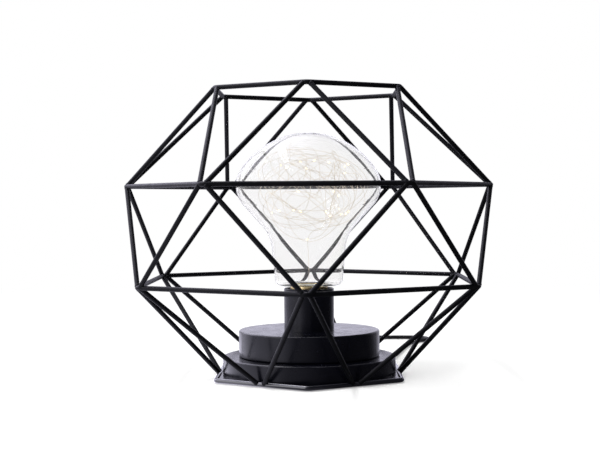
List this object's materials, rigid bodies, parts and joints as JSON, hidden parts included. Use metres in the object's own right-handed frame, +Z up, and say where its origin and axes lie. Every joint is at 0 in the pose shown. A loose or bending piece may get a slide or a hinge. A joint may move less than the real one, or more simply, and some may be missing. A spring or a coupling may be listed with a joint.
{
  "type": "wire cage table lamp",
  "caption": "Low table lamp: black hexagonal wire cage around a clear screw-in bulb filled with fairy-light wire, on a round stepped base with a corded inline switch.",
  "frame": {"origin": "centre of the felt pad's underside, on the table", "axes": "+Z up, -Y towards the front of the lamp, +X to the viewer's right"},
  "size_m": [0.2518, 0.3489, 0.1956],
  "materials": {
    "black_paint": "satin",
    "black_felt": "matte",
    "ballast_iron": "rough",
    "zinc_steel": "satin",
    "socket_resin": "matte",
    "socket_brass": "satin",
    "clear_glass": "gloss",
    "cap_brass": "satin",
    "cap_resin": "gloss",
    "solder": "satin",
    "board_resin": "matte",
    "copper_wire": "satin",
    "led_resin": "gloss",
    "cord_rubber": "matte",
    "lead_sleeve": "matte",
    "tie_fabric": "matte",
    "switch_plastic": "satin",
    "rocker_plastic": "gloss",
    "plug_steel": "satin",
    "tongue_plastic": "matte"
  },
  "bodies": {
    "lamp": {"ballast": "ballast_iron", "base_disc": "black_paint", "base_pad": "black_felt", "bottom_plate": "black_paint", "centre_contact": "socket_brass", "coil_tie": "tie_fabric", "cord_coil": "cord_rubber", "cord_end": "cord_rubber", "cord_lead": "cord_rubber", "cord_tail": "cord_rubber", "drum": "black_paint", "foot_ring": "black_paint", "inner_leads": "lead_sleeve", "lower_ring": "black_paint", "lower_strut_pair_1": "black_paint", "lower_strut_pair_2": "black_paint", "lower_strut_pair_3": "black_paint", "lower_strut_pair_4": "black_paint", "lower_strut_pair_5": "black_paint", "lower_strut_pair_6": "black_paint", "middle_strut_pair_1": "black_paint", "middle_strut_pair_2": "black_paint", "middle_strut_pair_3": "black_paint", "middle_strut_pair_4": "black_paint", "middle_strut_pair_5": "black_paint", "middle_strut_pair_6": "black_paint", "nipple": "zinc_steel", "nipple_nut": "zinc_steel", "nipple_washer": "zinc_steel", "plate_posts": "zinc_steel", "plate_screws": "zinc_steel", "plug_body": "cord_rubber", "plug_shell": "plug_steel", "plug_tongue": "tongue_plastic", "rocker_pin": "zinc_steel", "screw_shell": "socket_brass", "socket_collar": "black_paint", "socket_insulator": "socket_resin", "strain_relief": "cord_rubber", "switch_base": "switch_plastic", "switch_cover": "switch_plastic", "switch_screws": "zinc_steel", "top_ring": "black_paint", "upper_ring": "black_paint", "upper_strut_pair_1": "black_paint", "upper_strut_pair_2": "black_paint", "upper_strut_pair_3": "black_paint", "upper_strut_pair_4": "black_paint", "upper_strut_pair_5": "black_paint", "upper_strut_pair_6": "black_paint"},
    "bulb_carrier": {"tip_contact": "solder"},
    "bulb": {"bulb_glass": "clear_glass", "bulb_cap": "cap_brass", "cap_insulator": "cap_resin", "driver_board": "board_resin", "fairy_wire": "copper_wire", "led_beads": "led_resin"},
    "rocker": {"switch_rocker": "rocker_plastic"}
  },
  "joints": [
    {"name": "bulb_rise", "type": "slide", "parent": "lamp", "child": "bulb_carrier", "axis": [0, 0, 1], "range_m": [0, 0.0109]},
    {"name": "bulb_turn", "type": "hinge", "parent": "bulb_carrier", "child": "bulb", "pos_m": [0, 0, 0.05], "axis": [0, 0, 1], "range_deg": [0, 1080]},
    {"name": "rocker_tilt", "type": "hinge", "parent": "lamp", "child": "rocker", "pos_m": [-0.003, 0.2145, 0.00748], "axis": [0, -1, 0], "range_deg": [0, 20]}
  ],
  "couplings": [
    {"joint": "bulb_rise", "follows": "bulb_turn", "m_per_rad": 0.000578}
  ]
}
